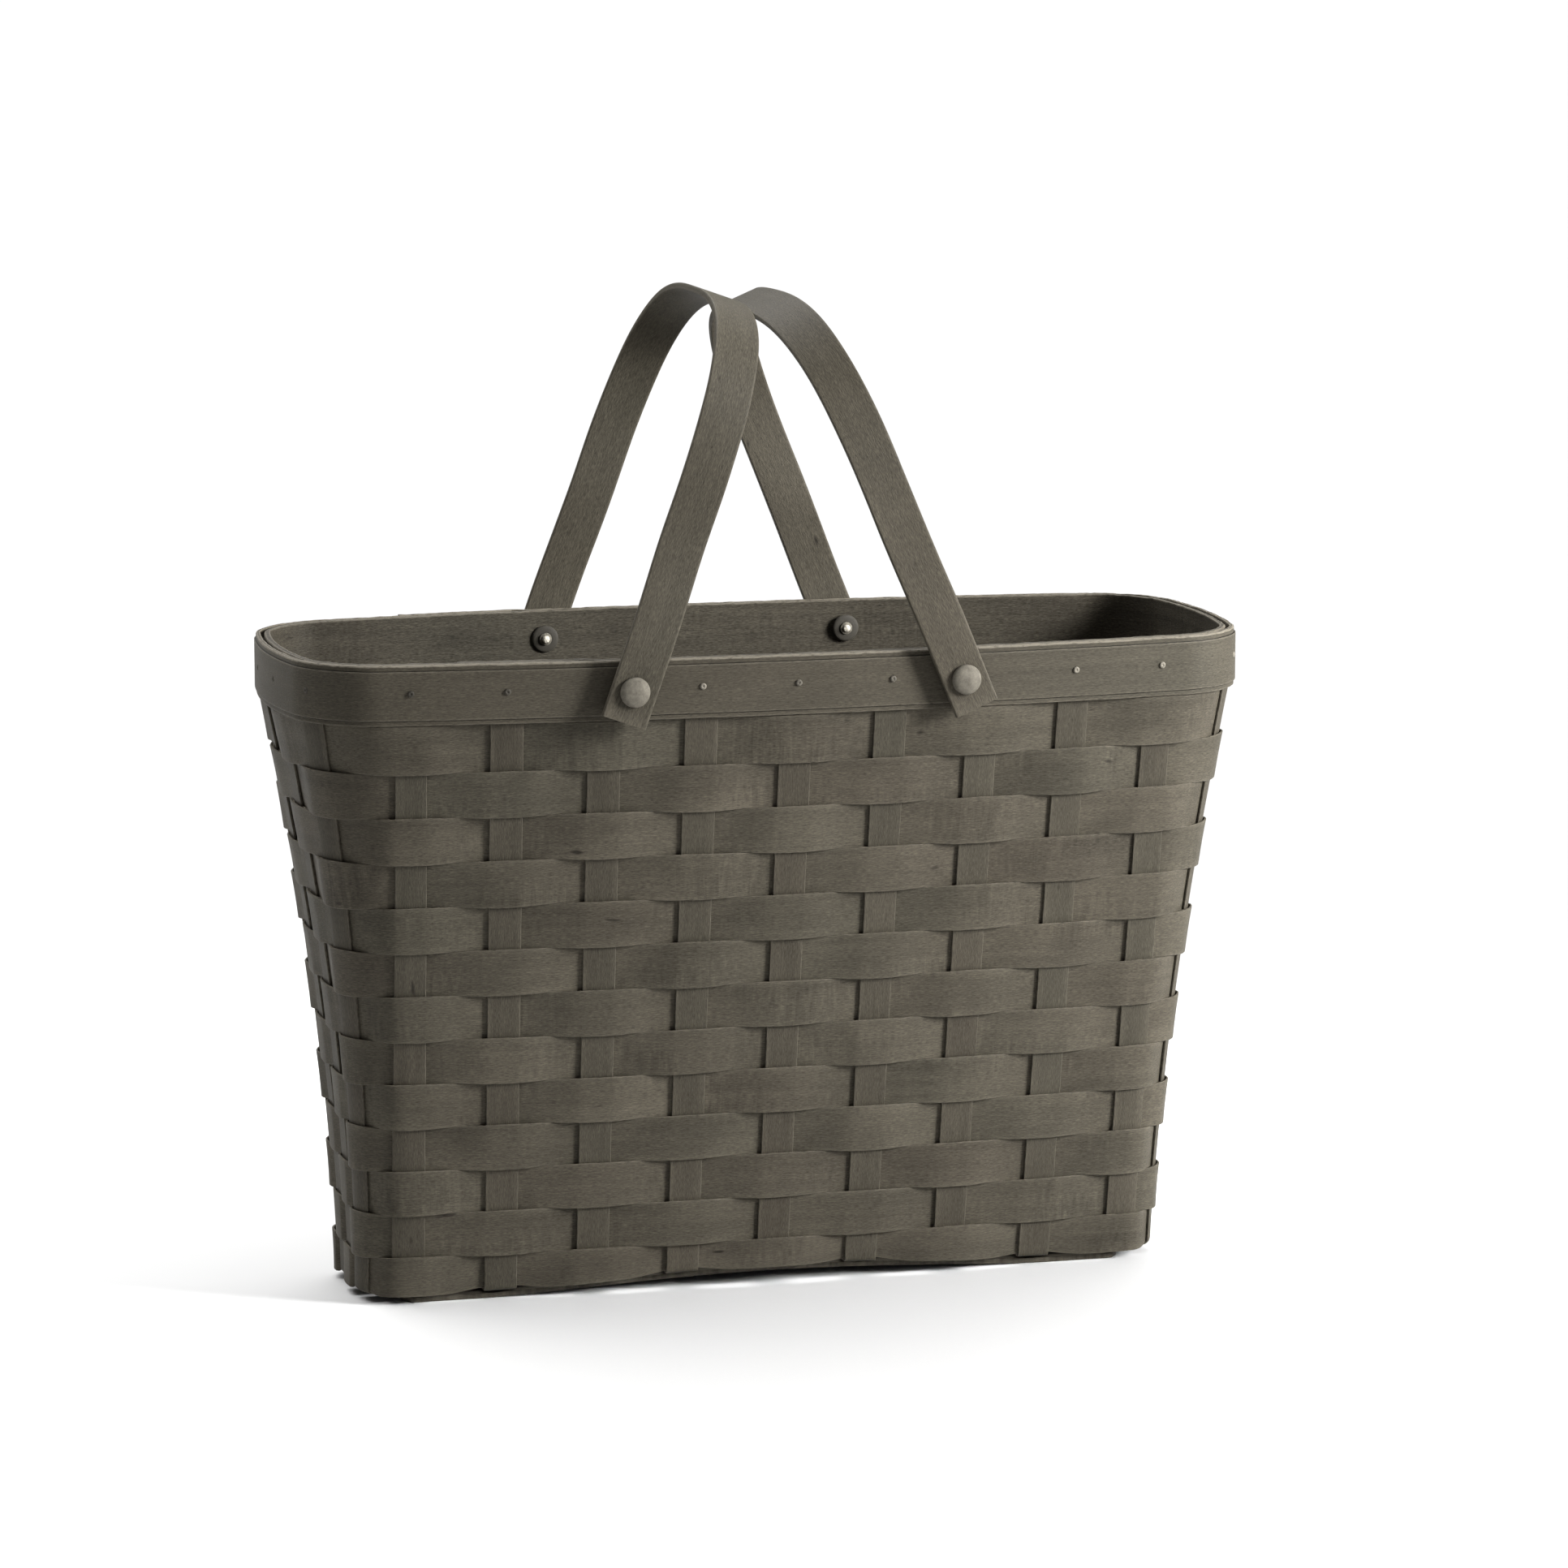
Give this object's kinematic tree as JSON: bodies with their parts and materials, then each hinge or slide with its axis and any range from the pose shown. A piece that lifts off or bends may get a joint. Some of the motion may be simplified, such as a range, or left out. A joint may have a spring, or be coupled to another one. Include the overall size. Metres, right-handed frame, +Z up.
{
  "type": "tote basket",
  "caption": "Open tote basket woven from flat stained wood splints, with two arched swing handles riveted to a double bent-wood rim.",
  "frame": {"origin": "middle of the footprint, on the surface that the basket stands on", "axes": "+Z up; X runs along the basket's length, with the end of handle_right at +X; the front long side faces -Y"},
  "size_m": [0.483, 0.2136, 0.4909],
  "materials": {
    "weaver_splint": "dark grey-brown stain, matt, sawn splint",
    "stake_splint": "dark grey-brown stain, matt, sawn splint",
    "hoop_wood": "dark grey-brown stain, satin, edges worn lighter",
    "handle_wood": "dark grey-brown stain, satin",
    "board_wood": "dark grey-brown stain, matt",
    "rivet_metal": "dull, stained over in part",
    "washer_metal": "dark, stained over",
    "tack_metal": "bright heads, some stained over"
  },
  "bodies": {
    "basket": {"board_tack_1": "tack_metal", "board_tack_2": "tack_metal", "board_tack_3": "tack_metal", "board_tack_4": "tack_metal", "board_tack_5": "tack_metal", "board_tack_6": "tack_metal", "bottom_board": "board_wood", "cross_stake_1": "stake_splint", "cross_stake_2": "stake_splint", "cross_stake_3": "stake_splint", "cross_stake_4": "stake_splint", "cross_stake_5": "stake_splint", "cross_stake_6": "stake_splint", "cross_stake_7": "stake_splint", "cross_stake_8": "stake_splint", "cross_stake_9": "stake_splint", "inner_hoop": "hoop_wood", "long_stake_1": "stake_splint", "long_stake_2": "stake_splint", "long_stake_3": "stake_splint", "long_stake_4": "stake_splint", "outer_hoop": "hoop_wood", "rim_tack_01": "tack_metal", "rim_tack_02": "tack_metal", "rim_tack_03": "tack_metal", "rim_tack_04": "tack_metal", "rim_tack_05": "tack_metal", "rim_tack_06": "tack_metal", "rim_tack_07": "tack_metal", "rim_tack_08": "tack_metal", "rim_tack_09": "tack_metal", "rim_tack_10": "tack_metal", "rim_tack_11": "tack_metal", "rim_tack_12": "tack_metal", "rim_tack_13": "tack_metal", "rim_tack_14": "tack_metal", "rivet_back_left": "rivet_metal", "rivet_back_right": "rivet_metal", "rivet_front_left": "rivet_metal", "rivet_front_right": "rivet_metal", "washer_back_left": "washer_metal", "washer_back_right": "washer_metal", "washer_front_left": "washer_metal", "washer_front_right": "washer_metal", "weaver_01": "weaver_splint", "weaver_02": "weaver_splint", "weaver_03": "weaver_splint", "weaver_04": "weaver_splint", "weaver_05": "weaver_splint", "weaver_06": "weaver_splint", "weaver_07": "weaver_splint", "weaver_08": "weaver_splint", "weaver_09": "weaver_splint", "weaver_10": "weaver_splint", "weaver_11": "weaver_splint", "weaver_12": "weaver_splint", "weaver_13": "weaver_splint"},
    "left_handle": {"handle_left": "handle_wood"},
    "right_handle": {"handle_right": "handle_wood"}
  },
  "joints": [
    {"name": "left_handle_swing", "type": "hinge", "parent": "basket", "child": "left_handle", "pos_m": [-0.082, 0, 0.3068], "axis": [0, -1, 0], "range_deg": [0, 148.5]},
    {"name": "right_handle_swing", "type": "hinge", "parent": "basket", "child": "right_handle", "pos_m": [0.07825, 0, 0.3068], "axis": [-0.0369, 0.9993, 0], "range_deg": [0, 149]}
  ]
}
